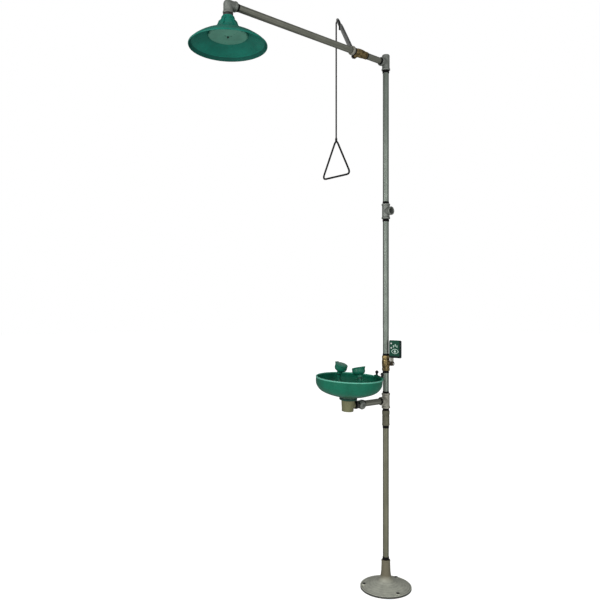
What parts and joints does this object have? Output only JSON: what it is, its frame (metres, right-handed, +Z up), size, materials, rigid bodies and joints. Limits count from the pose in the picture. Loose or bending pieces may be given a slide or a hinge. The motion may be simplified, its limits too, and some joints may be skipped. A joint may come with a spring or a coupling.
{
  "type": "eyewash station",
  "caption": "Free-standing drench shower with an eye and face wash bowl on a galvanised pipe stand, with a pull rod, a push flag and flip-up spray head covers.",
  "frame": {"origin": "centre of the floor flange's underside, on the floor and on the post's axis", "axes": "+Z up the post; the shower arm and the bowl reach towards -Y, where the user stands; the water inlet and the push flag are on +X, and the pull rod on -X"},
  "size_m": [0.2937, 1.1058, 2.4911],
  "materials": {
    "cast_flange": "galvanised casting, slightly rough",
    "galvanised_pipe": "hot-dip galvanised, dull",
    "galvanised_fitting": "galvanised malleable casting",
    "brass": "cast brass, tarnished",
    "valve_seat": "smooth",
    "stainless": "brushed",
    "sign_plate": null,
    "lever_steel": "pressed sheet, dull",
    "rod_steel": "dull grey rod",
    "head_plastic": "moulded, satin",
    "cup_metal": "dull olive casting",
    "clamp_plastic": "moulded",
    "rubber": "matt",
    "bowl_plastic": "moulded, glossy",
    "wash_plastic": "moulded, satin",
    "filter_foam": "open foam"
  },
  "bodies": {
    "stand": {"floor_flange": "cast_flange", "lower_post": "galvanised_pipe", "post_adapter": "galvanised_fitting", "eyewash_tee": "galvanised_fitting", "valve_nipple": "galvanised_pipe", "middle_post": "galvanised_pipe", "supply_tee": "galvanised_fitting", "upper_post": "galvanised_pipe", "top_tee": "galvanised_fitting", "eyewash_valve_body": "brass", "eyewash_valve_end": "brass", "eyewash_gland_nut": "brass", "eyewash_seat_outlet": "valve_seat", "eyewash_seat_inlet": "valve_seat", "arm_nipple": "galvanised_pipe", "sleeve_ring": "galvanised_pipe", "shower_arm": "galvanised_pipe", "shower_valve_body": "brass", "shower_valve_end": "brass", "shower_gland_nut": "brass", "shower_seat_outlet": "valve_seat", "shower_seat_inlet": "valve_seat", "head_elbow": "galvanised_fitting", "shower_bell": "head_plastic", "deflector_plate": "head_plastic", "head_bushing": "galvanised_fitting", "deflector_screw": "stainless", "bowl_nipple": "galvanised_pipe", "branch_tee": "galvanised_fitting", "branch_plug": "galvanised_fitting", "feed_stub": "brass", "waste_cup": "cup_metal", "feed_riser": "brass", "bowl_clamp": "clamp_plastic", "bowl_gasket": "rubber", "bowl": "bowl_plastic", "strainer": "wash_plastic", "feed_yoke": "wash_plastic", "spray_body_left": "wash_plastic", "spray_filter_left": "filter_foam", "spray_face_left": "wash_plastic", "spray_body_right": "wash_plastic", "spray_filter_right": "filter_foam", "spray_face_right": "wash_plastic", "rim_clip": "rubber"},
    "shower_lever": {"shower_ball": "stainless", "shower_stem": "stainless", "pull_lever": "lever_steel", "shower_handle_nut": "brass"},
    "pull": {"pull_rod": "rod_steel", "pull_handle": "rod_steel"},
    "eyewash_flag": {"eyewash_ball": "stainless", "eyewash_stem": "stainless", "flag_strap": "stainless", "flag_plate": "sign_plate", "flag_rivet_lower": "stainless", "flag_rivet_upper": "stainless", "eyewash_handle_nut": "brass"},
    "cap_left": {"dust_cap_left": "wash_plastic"},
    "cap_right": {"dust_cap_right": "wash_plastic"}
  },
  "joints": [
    {"name": "shower_lever_turn", "type": "hinge", "parent": "stand", "child": "shower_lever", "pos_m": [-0.0358, -0.165, 2.356], "axis": [1, 0, 0], "range_deg": [0, 90]},
    {"name": "pull_hang", "type": "hinge", "parent": "shower_lever", "child": "pull", "pos_m": [-0.0358, -0.26351, 2.48208], "axis": [1, 0, 0], "range_deg": [-90, 0]},
    {"name": "eyewash_flag_turn", "type": "hinge", "parent": "stand", "child": "eyewash_flag", "pos_m": [0.0358, 0, 1.009], "axis": [-1, 0, 0], "range_deg": [0, 90]},
    {"name": "cap_left_hinge", "type": "hinge", "parent": "stand", "child": "cap_left", "pos_m": [-0.06696, -0.239, 1.02262], "axis": [0, -1, 0], "range_deg": [0, 110]},
    {"name": "cap_right_hinge", "type": "hinge", "parent": "stand", "child": "cap_right", "pos_m": [0.09158, -0.239, 1.01154], "axis": [0, 1, 0], "range_deg": [0, 110]}
  ],
  "couplings": [
    {"joint": "pull_hang", "follows": "shower_lever_turn", "ratio": -1}
  ]
}
